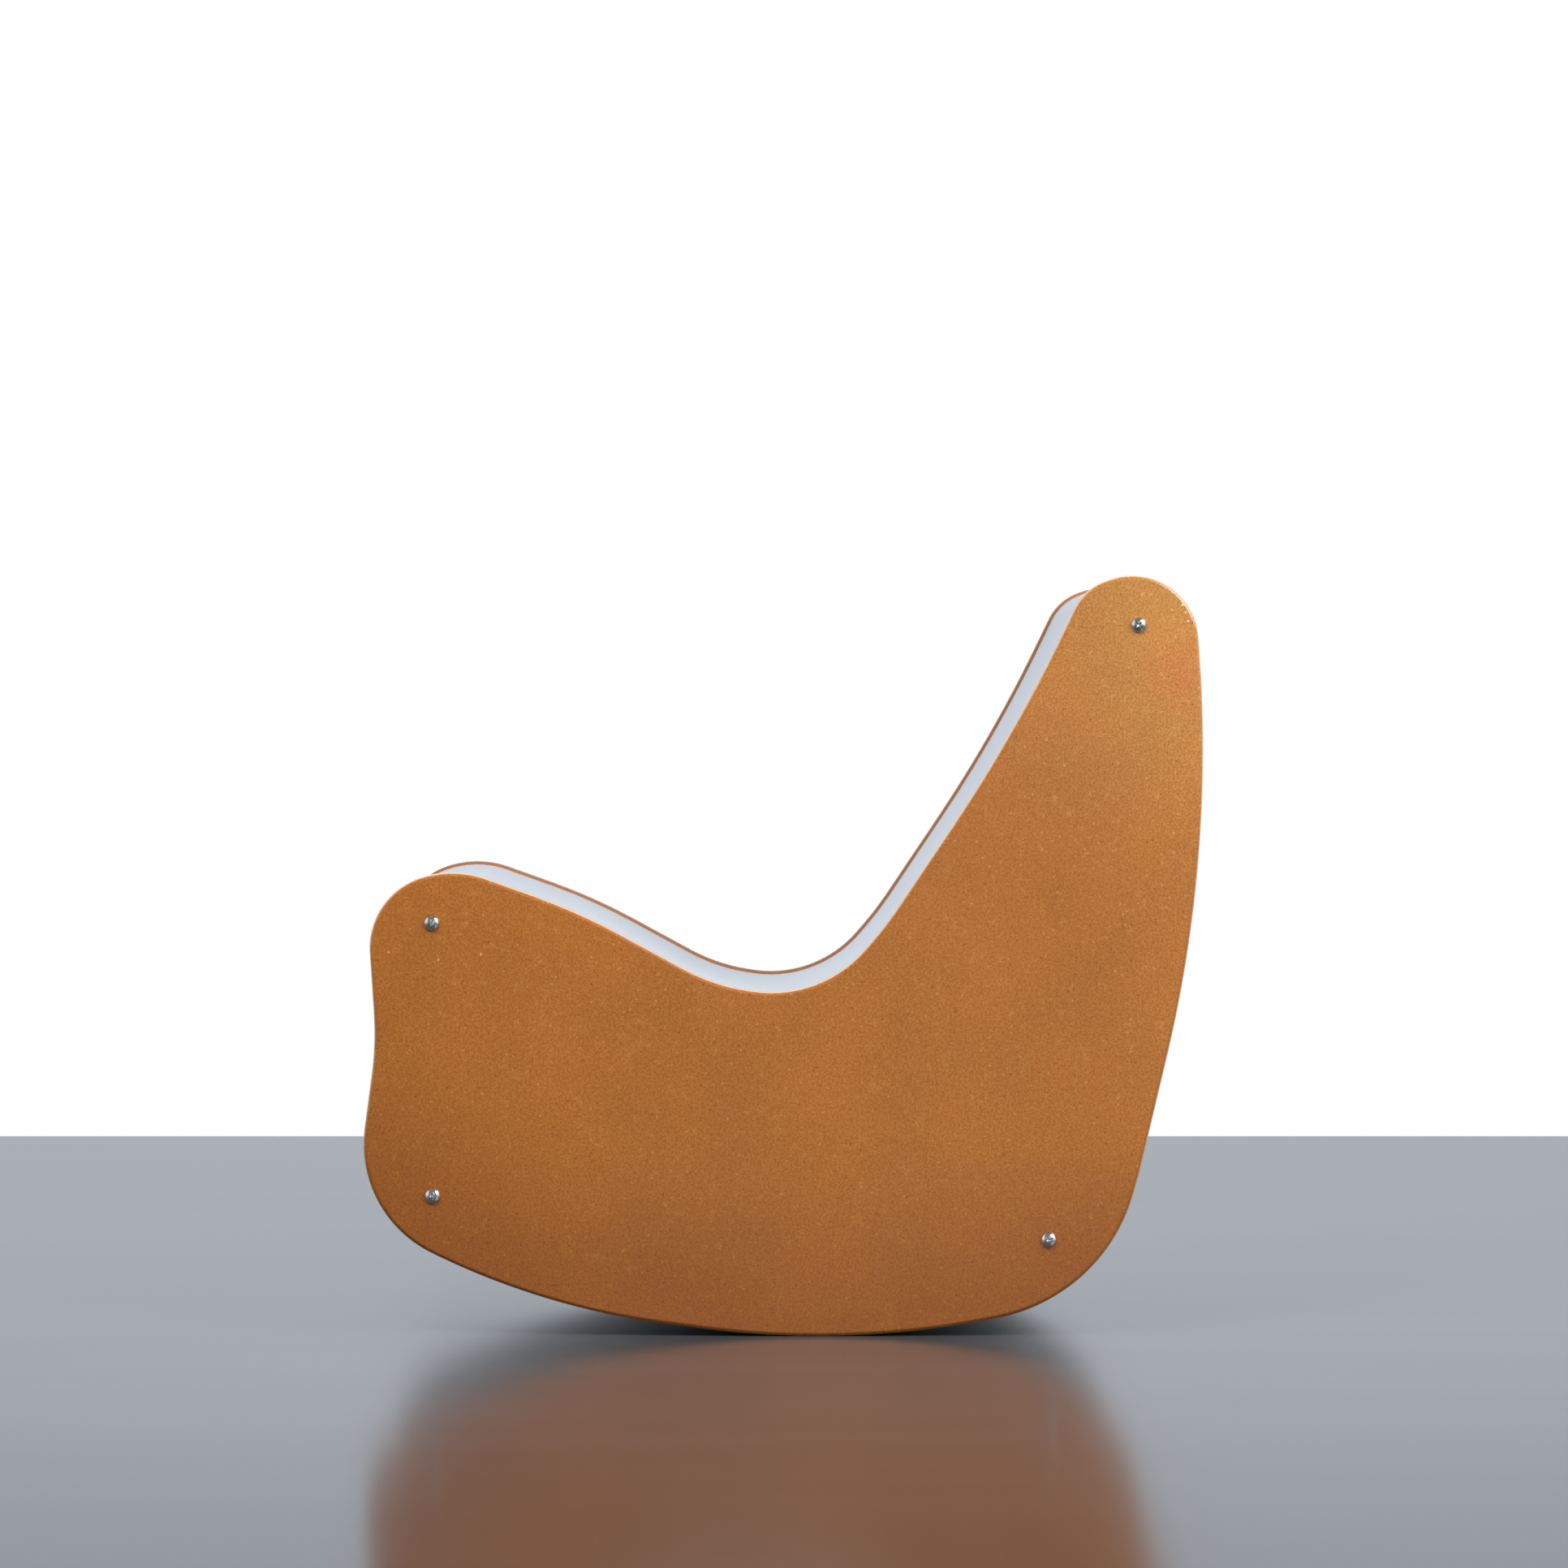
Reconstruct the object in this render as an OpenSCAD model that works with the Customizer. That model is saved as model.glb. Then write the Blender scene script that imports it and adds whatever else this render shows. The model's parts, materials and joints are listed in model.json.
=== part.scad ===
// Rocking chair with two flat side panels and a white skin bent between them.
// +X points to the chair's back, +Y to the sitter's right and +Z up. The floor is at Z = 0.
// The side outline is a ring of corners, each rounded by an arc, in millimetres.
// Every corner is placed from the middle of the chair's length and from the floor.

/* [Body] */
// Width over both side panels
chair_w = 540; // [440:5:640]
// Thickness of each side panel
panel_t = 18; // [15:1:25]

/* [Skin] */
// How far the panels' edges stand proud of the white skin
rim = 3.5; // [2:0.5:8]
// Thickness of the white laminate
laminate_t = 1; // [0.8:0.1:2]
// Thickness of the bent plywood of the front, the seat and the backrest
seat_ply_t = 12; // [9:1:15]
// Thickness of the bent plywood behind and below
back_ply_t = 9; // [6:1:12]
// Gap between the skin and each side panel
side_gap = 0.3; // [0.2:0.1:0.6]

/* [Bearers] */
// Thickness of the bearers, measured across the chair
bearer_t = 18; // [15:1:25]
// Depth of the bearers, measured in from the plywood
bearer_h = 28; // [22:1:30]
// Glue line between the plywood and the bearers
glue_t = 0.2; // [0.1:0.1:0.4]

/* [Rails] */
// Diameter of the round cross rails
rail_d = 45; // [36:1:52]
// Gap between a rail and the bearers that are notched round it
rail_gap = 0.3; // [0.2:0.1:0.6]

/* [Bolts] */
// Thread diameter of the bolts
bolt_d = 8; // [6:1:10]
// Diameter of the domed head
head_d = 16; // [14:1:20]
// Height of the domed head
head_h = 5.5; // [5:0.5:7]
// Height of the head's straight edge below the dome
head_edge = 1.5; // [0.5:0.5:2.5]
// How far a bolt reaches into its rail
bolt_bite = 42; // [36:1:60]
// Clearance round the bolt in the panel and the rail
bolt_play = 0.5; // [0.3:0.1:1]
// Width of each slot of the cross recess
recess_w = 2; // [1.5:0.1:2.5]
// Length of each slot of the cross recess
recess_l = 9; // [7:0.5:10]
// Depth of the cross recess
recess_depth = 3; // [2:0.5:3.5]
// Outer diameter of the threaded inserts
insert_d = 13; // [12.5:0.5:16]
// Length of the threaded inserts
insert_l = 30; // [20:1:34]
// Thread clearance between a bolt and its insert
thread_play = 0.2; // [0.1:0.1:0.4]

/* [Bolt places] */
// Toe bolt, in from the straight side before the toe's corner
toe_bolt_up = 55; // [50:0.5:65]
// Toe bolt, in from the straight side after the toe's corner
toe_bolt_in = 80.5; // [70:0.5:90]
// Knuckle bolt, in from the straight side before the knuckle's front corner
knuckle_bolt_in = 67.5; // [60:0.5:76]
// Knuckle bolt, in from the straight side after the knuckle's front corner
knuckle_bolt_down = 49.5; // [46:0.5:60]
// Head bolt, in from the straight side before the head's back corner
head_bolt_down = 55; // [50:0.5:62]
// Head bolt, in from the straight side after the head's back corner
head_bolt_in = 62; // [54:0.5:68]
// Heel bolt, in from the straight side before the heel's bottom corner
heel_bolt_in = 73; // [64:0.5:80]
// Heel bolt, in from the straight side after the heel's bottom corner
heel_bolt_up = 71; // [64:0.5:80]

/* [Bearer screws] */
// Diameter of the screws that hold the bearers
screw_d = 4; // [3:0.5:5]
// Diameter of their countersunk heads
screw_head_d = 8; // [7:0.5:10]
// How far they reach into the side panel
screw_bite = 12; // [8:1:13]
// Clearance round each screw
screw_play = 0.2; // [0.1:0.1:0.4]

/* [Rocker] */
// Rocker's long sweep: corner behind the middle
rocker_x = 66.5; // [56:0.5:76]
// Rocker's long sweep: corner above the floor
rocker_z = -11.5; // [-16:0.5:-8]
// Rocker's long sweep: radius
rocker_r = 950; // [800:10:1100]
// Rocker's front sweep: corner behind the middle
rocker_front_x = -251; // [-261:1:-241]
// Rocker's front sweep: corner above the floor
rocker_front_z = 29.5; // [24:0.5:38]
// Rocker's front sweep: radius
rocker_front_r = 790; // [600:10:900]

/* [Toe and front] */
// Toe: corner behind the middle
toe_x = -453; // [-470:1:-440]
// Toe: corner above the floor
toe_z = 128; // [115:1:140]
// Toe: radius
toe_r = 128; // [100:1:150]
// Waist of the front: corner behind the middle
waist_x = -429; // [-440:1:-415]
// Waist of the front: corner above the floor
waist_z = 309; // [290:1:330]
// Waist of the front: radius
waist_r = 345; // [200:5:500]
// Knuckle's front: corner behind the middle
knuckle_front_x = -440; // [-450:1:-425]
// Knuckle's front: corner above the floor
knuckle_front_z = 471; // [460:1:485]
// Knuckle's front: radius
knuckle_front_r = 78; // [65:1:90]

/* [Seat] */
// Knuckle's top: corner behind the middle
knuckle_top_x = -341; // [-350:1:-325]
// Knuckle's top: corner above the floor
knuckle_top_z = 492; // [480:1:505]
// Knuckle's top: radius
knuckle_top_r = 106; // [80:1:120]
// Seat's slope: corner behind the middle
slope_x = -215; // [-230:1:-200]
// Seat's slope: corner above the floor
slope_z = 447; // [440:1:455]
// Seat's slope: radius
slope_r = 680; // [500:10:900]
// Front of the seat's hollow: corner behind the middle
hollow_front_x = -73; // [-85:1:-60]
// Front of the seat's hollow: corner above the floor
hollow_front_z = 370; // [364:1:380]
// Front of the seat's hollow: radius
hollow_front_r = 205; // [150:5:260]
// Bottom of the seat's hollow: corner behind the middle
hollow_x = 39; // [30:1:50]
// Bottom of the seat's hollow: corner above the floor
hollow_z = 353; // [340:1:360]
// Bottom of the seat's hollow: radius
hollow_r = 130; // [100:5:160]

/* [Backrest] */
// Foot of the backrest: corner behind the middle
back_foot_x = 108; // [100:1:118]
// Foot of the backrest: corner above the floor
back_foot_z = 433; // [425:1:445]
// Foot of the backrest: radius
back_foot_r = 390; // [300:10:500]
// Middle of the backrest: corner behind the middle
backrest_x = 241; // [235:1:250]
// Middle of the backrest: corner above the floor
backrest_z = 631; // [615:1:645]
// Middle of the backrest: radius
backrest_r = 1650; // [1000:50:2200]

/* [Head and back] */
// Head's front: corner behind the middle
head_front_x = 317; // [305:1:325]
// Head's front: corner above the floor
head_front_z = 788; // [780:1:800]
// Head's front: radius
head_front_r = 60; // [52:1:70]
// Head's back: corner behind the middle
head_back_x = 430; // [420:1:440]
// Head's back: corner above the floor
head_back_z = 825; // [815:1:835]
// Head's back: radius
head_back_r = 70; // [60:1:80]
// Sweep of the back: corner behind the middle
back_x = 455; // [445:1:465]
// Sweep of the back: corner above the floor
back_z = 509; // [490:1:530]
// Sweep of the back: radius
back_r = 1400; // [1000:50:1700]

/* [Heel] */
// Heel's back: corner behind the middle
heel_back_x = 375; // [365:1:385]
// Heel's back: corner above the floor
heel_back_z = 173; // [160:1:185]
// Heel's back: radius
heel_back_r = 260; // [200:5:320]
// Heel's bottom: corner behind the middle
heel_bottom_x = 338; // [325:1:350]
// Heel's bottom: corner above the floor
heel_bottom_z = 41; // [34:1:50]
// Heel's bottom: radius
heel_bottom_r = 185; // [140:5:220]

/* [Hidden] */

// Segments of the small round parts and of the outline's wide arcs
$fn = 48;
arc_fn = 360;
// Shortest straight left between two arcs of the outline
min_straight = 1;
// Smallest radius that an inset corner keeps
min_corner_r = 2;
// How far the piece that rounds a corner laps over the sides of the outline
lap = 1;
// Reach of the cut lines, well beyond the chair
far = 2000;
// Depth of a hole beyond its screw or bolt, and the length of a screw's point
hole_spare = 1;
point_l = 4;
// Shortest straight of the outline that gets a screw of its own
screwed_straight = 50;

inner_w = chair_w - 2 * panel_t;
ply_inset = rim + laminate_t;
bolt_l = panel_t + bolt_bite;
dome_h = head_h - head_edge;
dome_r = (pow(head_d / 2, 2) + pow(dome_h, 2)) / (2 * dome_h);
screw_l = bearer_t + screw_bite;
sink_h = (screw_head_d - screw_d) / 2;

// Corners of the side outline: place behind the middle, height and radius.
// They run from under the chair to the toe, over the seat to the head, and down the back.
CORNERS = [
    [rocker_x, rocker_z, rocker_r],
    [rocker_front_x, rocker_front_z, rocker_front_r],
    [toe_x, toe_z, toe_r],
    [waist_x, waist_z, waist_r],
    [knuckle_front_x, knuckle_front_z, knuckle_front_r],
    [knuckle_top_x, knuckle_top_z, knuckle_top_r],
    [slope_x, slope_z, slope_r],
    [hollow_front_x, hollow_front_z, hollow_front_r],
    [hollow_x, hollow_z, hollow_r],
    [back_foot_x, back_foot_z, back_foot_r],
    [backrest_x, backrest_z, backrest_r],
    [head_front_x, head_front_z, head_front_r],
    [head_back_x, head_back_z, head_back_r],
    [back_x, back_z, back_r],
    [heel_back_x, heel_back_z, heel_back_r],
    [heel_bottom_x, heel_bottom_z, heel_bottom_r]];
COUNT = len(CORNERS);

// Vectors in the plane of the outline
function unit(v) = v / norm(v);
function inward(v) = [v[1], -v[0]];
function cross2(a, b) = a[0] * b[1] - a[1] * b[0];
function wrap(i) = (i + COUNT) % COUNT;
function direction(a) = [cos(a), sin(a)];

// Each side of the outline runs from its corner to the next
POINTS = [for (c = CORNERS) [c[0], c[1]]];
SIDES = [for (i = [0 : COUNT - 1]) POINTS[wrap(i + 1)] - POINTS[i]];
TURNS = [for (i = [0 : COUNT - 1]) let (a = SIDES[wrap(i - 1)], b = SIDES[i])
    atan2(cross2(b, a), a * b)];
CONVEX = [for (t = TURNS) t > 0];

// An arc is made smaller where two neighbours have no room on the side between them
function wanted_run(i) = CORNERS[wrap(i)][2] * tan(abs(TURNS[wrap(i)]) / 2);
function room(i) = (norm(SIDES[wrap(i)]) - min_straight) / (wanted_run(i) + wanted_run(i + 1));
RADII = [for (i = [0 : COUNT - 1]) CORNERS[i][2] * min(1, room(i - 1), room(i))];

// Corner, radius and arc of the outline moved in by inset
function in_of(i) = inward(unit(SIDES[wrap(i - 1)]));
function out_of(i) = inward(unit(SIDES[i]));
function corner(i, inset) = POINTS[i] + inset * (in_of(i) + out_of(i)) / (1 + in_of(i) * out_of(i));
function radius(i, inset) = CONVEX[i] ? max(RADII[i] - inset, min_corner_r) : RADII[i] + inset;
function run(i, inset) = radius(i, inset) * tan(abs(TURNS[i]) / 2);
function arc_start(i, inset) = corner(i, inset) - unit(SIDES[wrap(i - 1)]) * run(i, inset);
function arc_end(i, inset) = corner(i, inset) + unit(SIDES[i]) * run(i, inset);
function centre(i, inset) = arc_start(i, inset) + in_of(i) * radius(i, inset) * (CONVEX[i] ? 1 : -1);
function arc_middle(i, inset) = let (c = centre(i, inset), p = corner(i, inset))
    c + unit(p - c) * radius(i, inset);
function side_middle(i, inset) = (arc_end(i, inset) + arc_start(wrap(i + 1), inset)) / 2;
function straight(i) = norm(arc_start(wrap(i + 1), 0) - arc_end(i, 0));

// How far the outline reaches in a direction
function faces(i, d) = CONVEX[i] && cross2(in_of(i), -d) <= 0 && cross2(-d, out_of(i)) <= 0;
function reach(d) = max([for (i = [0 : COUNT - 1])
    faces(i, d) ? centre(i, 0) * d + RADII[i] : max(arc_start(i, 0) * d, arc_end(i, 0) * d)]);
middle_x = (reach([1, 0]) - reach([-1, 0])) / 2;
floor_z = -reach([0, -1]);

// Point inside corner i, set in from the side before it and from the side after it
function inside(i, before, after) = let (a = in_of(i), b = out_of(i), c = a * b)
    POINTS[i] + ((before - after * c) * a + (after - before * c) * b) / (1 - c * c);

// Bolts and rails: name, place by the outline's corner of that number, and the direction
// outwards in which the pieces over them are cut
BOLT_NAMES = ["toe", "knuckle", "head", "heel"];
BOLTS = [
    inside(2, toe_bolt_up, toe_bolt_in),
    inside(4, knuckle_bolt_in, knuckle_bolt_down),
    inside(12, head_bolt_down, head_bolt_in),
    inside(15, heel_bolt_in, heel_bolt_up)];
CUTS = [217, 150, 55, -40];
TOE = 0;
HEAD = 2;
HEEL = 3;

// Each bearer runs from the rail of its number to the next, under plywood of its thickness
BEARER_NAMES = ["front", "seat", "back", "rocker"];
BEARER_PLIES = [seat_ply_t, seat_ply_t, back_ply_t, back_ply_t];

// Inner point that all cut lines meet at, part of the way from the toe bolt to the heel bolt
hub_share = 0.65;
hub_rise = 60;
hub = BOLTS[TOE] + hub_share * (BOLTS[HEEL] - BOLTS[TOE]) + [0, hub_rise];

// Bearer screws sit at arc and side middles, halfway down the bearers, clear of the rails
screw_inset = ply_inset + (seat_ply_t + back_ply_t) / 2 + glue_t + bearer_h / 2;
SPOTS = concat([for (i = [0 : COUNT - 1]) arc_middle(i, screw_inset)],
    [for (i = [0 : COUNT - 1]) if (straight(i) > screwed_straight) side_middle(i, screw_inset)]);
SCREWS = [for (p = SPOTS) if (min([for (b = BOLTS) norm(p - b)]) > rail_d / 2 + bearer_h) p];

// An arc crosses its two sides by a hair, so that it meets them without a step
function hair(r) = 0.001 + r / 100000;

// Piece between a corner and its arc: cut off a convex corner, or filled into a hollow one
module rounding(i, inset) {
    away = CONVEX[i] ? -lap : lap;
    start = arc_start(i, inset);
    end = arc_end(i, inset);
    r = radius(i, inset);
    difference() {
        polygon([start, start + in_of(i) * away, corner(i, inset + away), end + out_of(i) * away, end]);
        translate(centre(i, inset)) circle(r + hair(r), $fn = arc_fn);
    }
}

// Flat piece of thickness t with its outline in X and Z, starting at y
module slab(y, t) {
    translate([-middle_x, y + t, -floor_z]) rotate([90, 0, 0]) linear_extrude(t) children();
}

// Slab of the side outline moved in by inset, with true arcs
module outline_slab(inset, y, t) {
    difference() {
        union() {
            slab(y, t) polygon([for (i = [0 : COUNT - 1]) corner(i, inset)]);
            for (i = [0 : COUNT - 1]) if (!CONVEX[i]) slab(y, t) rounding(i, inset);
        }
        for (i = [0 : COUNT - 1]) if (CONVEX[i])
            slab(y - hole_spare, t + 2 * hole_spare) rounding(i, inset);
    }
}

// Band that follows the outline, from one inset to a deeper one
module band(outer, inner, y, t) {
    difference() {
        outline_slab(outer, y, t);
        outline_slab(inner, y - hole_spare, t + 2 * hole_spare);
    }
}

// Everything clockwise from the cut over rail i to the cut over rail j
module between(i, j) {
    a_out = BOLTS[i] + far * direction(CUTS[i]);
    b_out = BOLTS[j] + far * direction(CUTS[j]);
    span = (CUTS[i] - CUTS[j] + 360) % 360;
    steps = 6;
    fan = [for (k = [1 : steps - 1]) hub + 2 * far * direction(CUTS[i] - span * k / steps)];
    polygon(concat([hub, BOLTS[i], a_out], fan, [b_out, BOLTS[j]]));
}

// A child that stands along Z, laid along Y at point p of the outline, pointing to the left
module along_y(p, y) {
    translate([p[0] - middle_x, y, p[1] - floor_z]) rotate([90, 0, 0]) children();
}

// Everything is drawn for the left side, and mirrored for the right
module on_side(side) {
    if (side == "left") children();
    else mirror([0, 1, 0]) children();
}

module side_panel() {
    color("peru") difference() {
        outline_slab(0, -chair_w / 2, panel_t);
        slab(-chair_w / 2 - hole_spare, panel_t + 2 * hole_spare)
            for (p = BOLTS) translate(p) circle((bolt_d + bolt_play) / 2);
        screw_holes();
    }
}

// Curved bearer on a side panel, from one rail to the next, under the plywood
module bearer(k) {
    next = (k + 1) % len(BOLTS);
    inset = ply_inset + BEARER_PLIES[k] + glue_t;
    color("burlywood") difference() {
        intersection() {
            band(inset, inset + bearer_h, -inner_w / 2, bearer_t);
            slab(-inner_w / 2 - hole_spare, bearer_t + 2 * hole_spare) between(k, next);
        }
        slab(-inner_w / 2 - hole_spare, bearer_t + 2 * hole_spare)
            for (i = [k, next]) translate(BOLTS[i]) circle(rail_d / 2 + rail_gap);
        screw_holes();
    }
}

// Round hardwood rail between the panels, bored at both ends for its inserts and bolts
module rail(k) {
    color("tan") difference() {
        slab(-inner_w / 2, inner_w) translate(BOLTS[k]) circle(rail_d / 2);
        for (side = ["left", "right"]) on_side(side) {
            slab(-inner_w / 2 - hole_spare, insert_l + hole_spare)
                translate(BOLTS[k]) circle(insert_d / 2);
            slab(-inner_w / 2 - hole_spare, bolt_bite + 2 * hole_spare)
                translate(BOLTS[k]) circle((bolt_d + bolt_play) / 2);
        }
    }
}

// Layer of the skin, from one inset to a deeper one, between two rails
module skin_layer(outer, inner, i, j) {
    intersection() {
        band(outer, inner, side_gap - inner_w / 2, inner_w - 2 * side_gap);
        slab(-inner_w / 2, inner_w) between(i, j);
    }
}

module shell(ply_t, i, j) {
    color("wheat") skin_layer(ply_inset, ply_inset + ply_t, i, j);
}

module laminate(i, j) {
    color("ghostwhite") skin_layer(rim, ply_inset, i, j);
}

// Bolt with a domed head and a cross recess, through the panel into the rail
module bolt(k) {
    color("silver") along_y(BOLTS[k], -chair_w / 2) difference() {
        rotate_extrude() {
            intersection() {
                translate([0, head_h - dome_r]) circle(dome_r, $fn = arc_fn);
                square([head_d / 2, head_h]);
            }
            translate([0, -bolt_l]) square([bolt_d / 2, bolt_l + head_edge]);
        }
        for (a = [0, 90]) rotate(a) translate([-recess_l / 2, -recess_w / 2, head_h - recess_depth])
            cube([recess_l, recess_w, recess_depth + hole_spare]);
    }
}

module insert(k) {
    color("goldenrod") slab(-inner_w / 2, insert_l) translate(BOLTS[k]) difference() {
        circle(insert_d / 2);
        circle((bolt_d + thread_play) / 2);
    }
}

// Countersunk screws, from the bearers' inner faces into the panel
module bearer_screws() {
    color("gray") for (p = SCREWS) along_y(p, bearer_t - inner_w / 2) rotate_extrude() polygon([
        [0, 0], [screw_head_d / 2, 0], [screw_d / 2, sink_h],
        [screw_d / 2, screw_l - point_l], [0, screw_l]]);
}

module screw_holes() {
    head_r = (screw_head_d + screw_play) / 2;
    shank_r = (screw_d + screw_play) / 2;
    for (p = SCREWS) along_y(p, bearer_t - inner_w / 2) rotate_extrude() polygon([
        [0, -hole_spare], [head_r, -hole_spare], [head_r, 0], [shank_r, sink_h],
        [shank_r, screw_l + hole_spare], [0, screw_l + hole_spare]]);
}

for (side = ["left", "right"]) {
    on_side(side) side_panel();
    on_side(side) bearer_screws();
    for (k = [0 : len(BOLTS) - 1]) {
        on_side(side) bearer(k);
        on_side(side) bolt(k);
        on_side(side) insert(k);
    }
}
for (k = [0 : len(BOLTS) - 1]) rail(k);
shell(seat_ply_t, TOE, HEAD);  // seat_shell
shell(back_ply_t, HEAD, HEEL);  // back_shell
shell(back_ply_t, HEEL, TOE);  // rocker_shell
laminate(TOE, HEAD);  // seat_laminate
laminate(HEAD, HEEL);  // back_laminate
laminate(HEEL, TOE);  // rocker_laminate
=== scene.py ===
import json
import math

import bmesh
import bpy
import numpy as np
from mathutils.geometry import delaunay_2d_cdt
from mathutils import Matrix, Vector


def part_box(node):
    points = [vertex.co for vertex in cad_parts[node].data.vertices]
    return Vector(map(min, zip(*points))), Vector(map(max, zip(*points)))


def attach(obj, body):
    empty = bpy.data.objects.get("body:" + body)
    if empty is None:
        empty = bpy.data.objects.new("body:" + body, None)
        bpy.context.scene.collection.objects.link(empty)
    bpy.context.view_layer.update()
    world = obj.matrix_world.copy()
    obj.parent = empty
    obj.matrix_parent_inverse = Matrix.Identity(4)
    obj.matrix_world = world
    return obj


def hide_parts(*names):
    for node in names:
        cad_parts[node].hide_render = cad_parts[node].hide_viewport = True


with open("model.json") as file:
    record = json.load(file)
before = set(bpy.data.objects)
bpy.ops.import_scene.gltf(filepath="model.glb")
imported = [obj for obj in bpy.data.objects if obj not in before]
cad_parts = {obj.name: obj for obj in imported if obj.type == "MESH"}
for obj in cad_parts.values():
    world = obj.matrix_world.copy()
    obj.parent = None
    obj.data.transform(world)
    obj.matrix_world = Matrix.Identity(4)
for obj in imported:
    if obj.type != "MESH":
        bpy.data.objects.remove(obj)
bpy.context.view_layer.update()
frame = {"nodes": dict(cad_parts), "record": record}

NODES = frame["nodes"]

# Radii in metres of the roundings that the CAD leaves to the finish
BOARD_ROUND = 0.0042
BOARD_INNER_ROUND = 0.0007
BOLT_HOLE_ROUND = 0.0004
PILOT_HOLE_ROUND = 0.0003
SKIN_ROUND = 0.00015

# The longest steps along an outline and round a hole, and the most degrees that one turns
OUTLINE_STEP = 0.004
HOLE_STEP = 0.0007
TURN_STEP = 3

# Steps across the rounding of a board's outer edge, of its inner edge and of a hole's edge
EDGE_STEPS = 9
INNER_EDGE_STEPS = 5
HOLE_EDGE_STEPS = 2

# A hole deeper than this goes right through the board
BLIND_LIMIT = 0.0175

# Vertices out to this many radii from a hole's centre are its own
HOLE_REACH = 1.2

# Vertices this near to an end's Y lie in the end, and holes whose centres are this near are one
SAME_LEVEL = 1e-5
SAME_CENTRE = 0.001

# Segments are joined on a grid of this many points a metre, and shorter ones are left out
POINT_GRID = 2e5
SHORTEST = 1e-6

# The bolts: the band under the dome, its own bevel and the bevel of the tip
BOLT_BAND = 0.0006
BOLT_BAND_BEVEL = 0.00015
BOLT_BEVEL = 0.0006

# Corners round a bolt, and the steps along its shank, over its dome and down its recess
BOLT_CORNERS = 144
SHANK_STEPS = 12
DOME_STEPS = 12
MOUTH_STEPS = 6
RECESS_STEPS = 5

# The share of the quarter turn from the dome's rim to its top that its own rings cover
DOME_SHARE = 0.55

# The cross recess: how far an arm reaches, its width and depth, and what the first two lose
# on the way down to its floor
RECESS_REACH = 0.0043
RECESS_WIDTH = 0.0019
RECESS_DEPTH = 0.0022
RECESS_REACH_LOSS = 0.0019
RECESS_WIDTH_LOSS = 0.0004

# The higher this power, the sharper the corners between the recess's arms
CROSS_POWER = 7

# The recess's rounded lip: where it starts outside the mouth, a ring half-way given by its
# distance and depth, and its depth at the mouth
LIP_START = 0.00016
LIP_MIDDLE = 0.00005
LIP_MIDDLE_DEPTH = 0.00004
LIP_DEPTH = 0.00014

# The pit in the middle of the recess: reach and width of its arms, its depths below the
# recess's floor at its edge and its bottom, and the bottom's share of its size
PIT_REACH = 0.0014
PIT_WIDTH = 0.0013
PIT_EDGE_DEPTH = 0.0005
PIT_DEPTH = 0.0008
PIT_BOTTOM = 0.4

# How far each bolt's cross recess is turned, in degrees
BOLT_TURNS = {"toe": 12, "knuckle": 71, "head": 48, "heel": 27}

# The curve that the chair rolls on touches the floor at this X and has this radius
ROCKER_X = 0.036
ROCKER_RADIUS = 0.95

# Depths of the boards' faces from the chair's middle, which the finish tells apart
OUTER_FACE = 0.2692
OUTER_ROUND = 0.268
# The arris band gets a painted highlight
ARRIS = (0.2655, 0.2675)
# The inner face gets painted shade
INNER_FACE = (0.25203, 0.2522)

# Two of these patches are painted light: a painted reflection and a painted sheen at the head
# Wide changes of tone on the boards: X, Z, radius, share and the colour they multiply by
TONE_AND_SHEEN_PATCHES = (
    # Painted reflection, pinkish, at the head's upper right
    (0.418, 0.70, 0.06, 0.9, (1.12, 0.88, 1.0)),
    (0.30, 0.08, 0.05, 0.6, (1.0, 0.9, 0.9)),
    # Painted sheen, paler and yellower, over the head
    (0.42, 0.76, 0.3, 1, (1.12, 1.40, 2.2)),
)

# Painted glints at the head, chips and scratches: X, Z, radius, stretch along X, share and colour
# Colour of the painted glints at the head's right edge
HEAD_GLINT = (0.95, 0.80, 0.55)
KNUCKLE_CHIP = (0.9, 0.66, 0.42)
SCRATCH = (0.05, 0.02, 0.01)
MARKS_AND_GLINTS = (
    # Painted glints: three small pale spots along the head's right edge
    (0.42, 0.7695, 0.002, 1, 1, HEAD_GLINT),
    (0.4233, 0.762, 0.0018, 1, 0.9, HEAD_GLINT),
    (0.426, 0.7525, 0.0018, 1, 0.8, HEAD_GLINT),
    (-0.4154, 0.4041, 0.0016, 1, 0.9, KNUCKLE_CHIP),
    (-0.3631, 0.3961, 0.0016, 1, 0.9, KNUCKLE_CHIP),
    (-0.3181, 0.4019, 0.0018, 1, 0.9, KNUCKLE_CHIP),
    (-0.2407, 0.0539, 0.0007, 12, 0.8, SCRATCH),
    (-0.1844, 0.0326, 0.0011, 2.5, 0.8, SCRATCH),
)

# Where the studio floor ends behind the chair and how far it runs the other ways
FLOOR_BACK = 2.66
FLOOR_FRONT = -40
FLOOR_SIDE = 30

# The strength of the soft light from all round
AMBIENT = 0.22

# The lamps: place, aim, width, height, power, spread in degrees and whether surfaces mirror it
LAMPS = {
    "right_key": ((2.2, -1.8, 2.2), (0.6, -0.27, 0.75), 1.9, 1.9, 14.8, 75, True),
    "left_key": ((-0.9, -1.7, 2.5), (-0.25, -0.27, 0.85), 1.4, 1.0, 12.3, 75, False),
    "overhead": ((-0.7, 0.5, 2.8), (0, 0, 0.3), 2.0, 2.0, 2.2, 180, True),
    "back_fill": ((-0.8, 3.0, 1.9), (0, 0.1, 0.4), 1.6, 1.2, 24, 180, False),
}


# Outlines of the CAD nodes' flat ends

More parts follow.
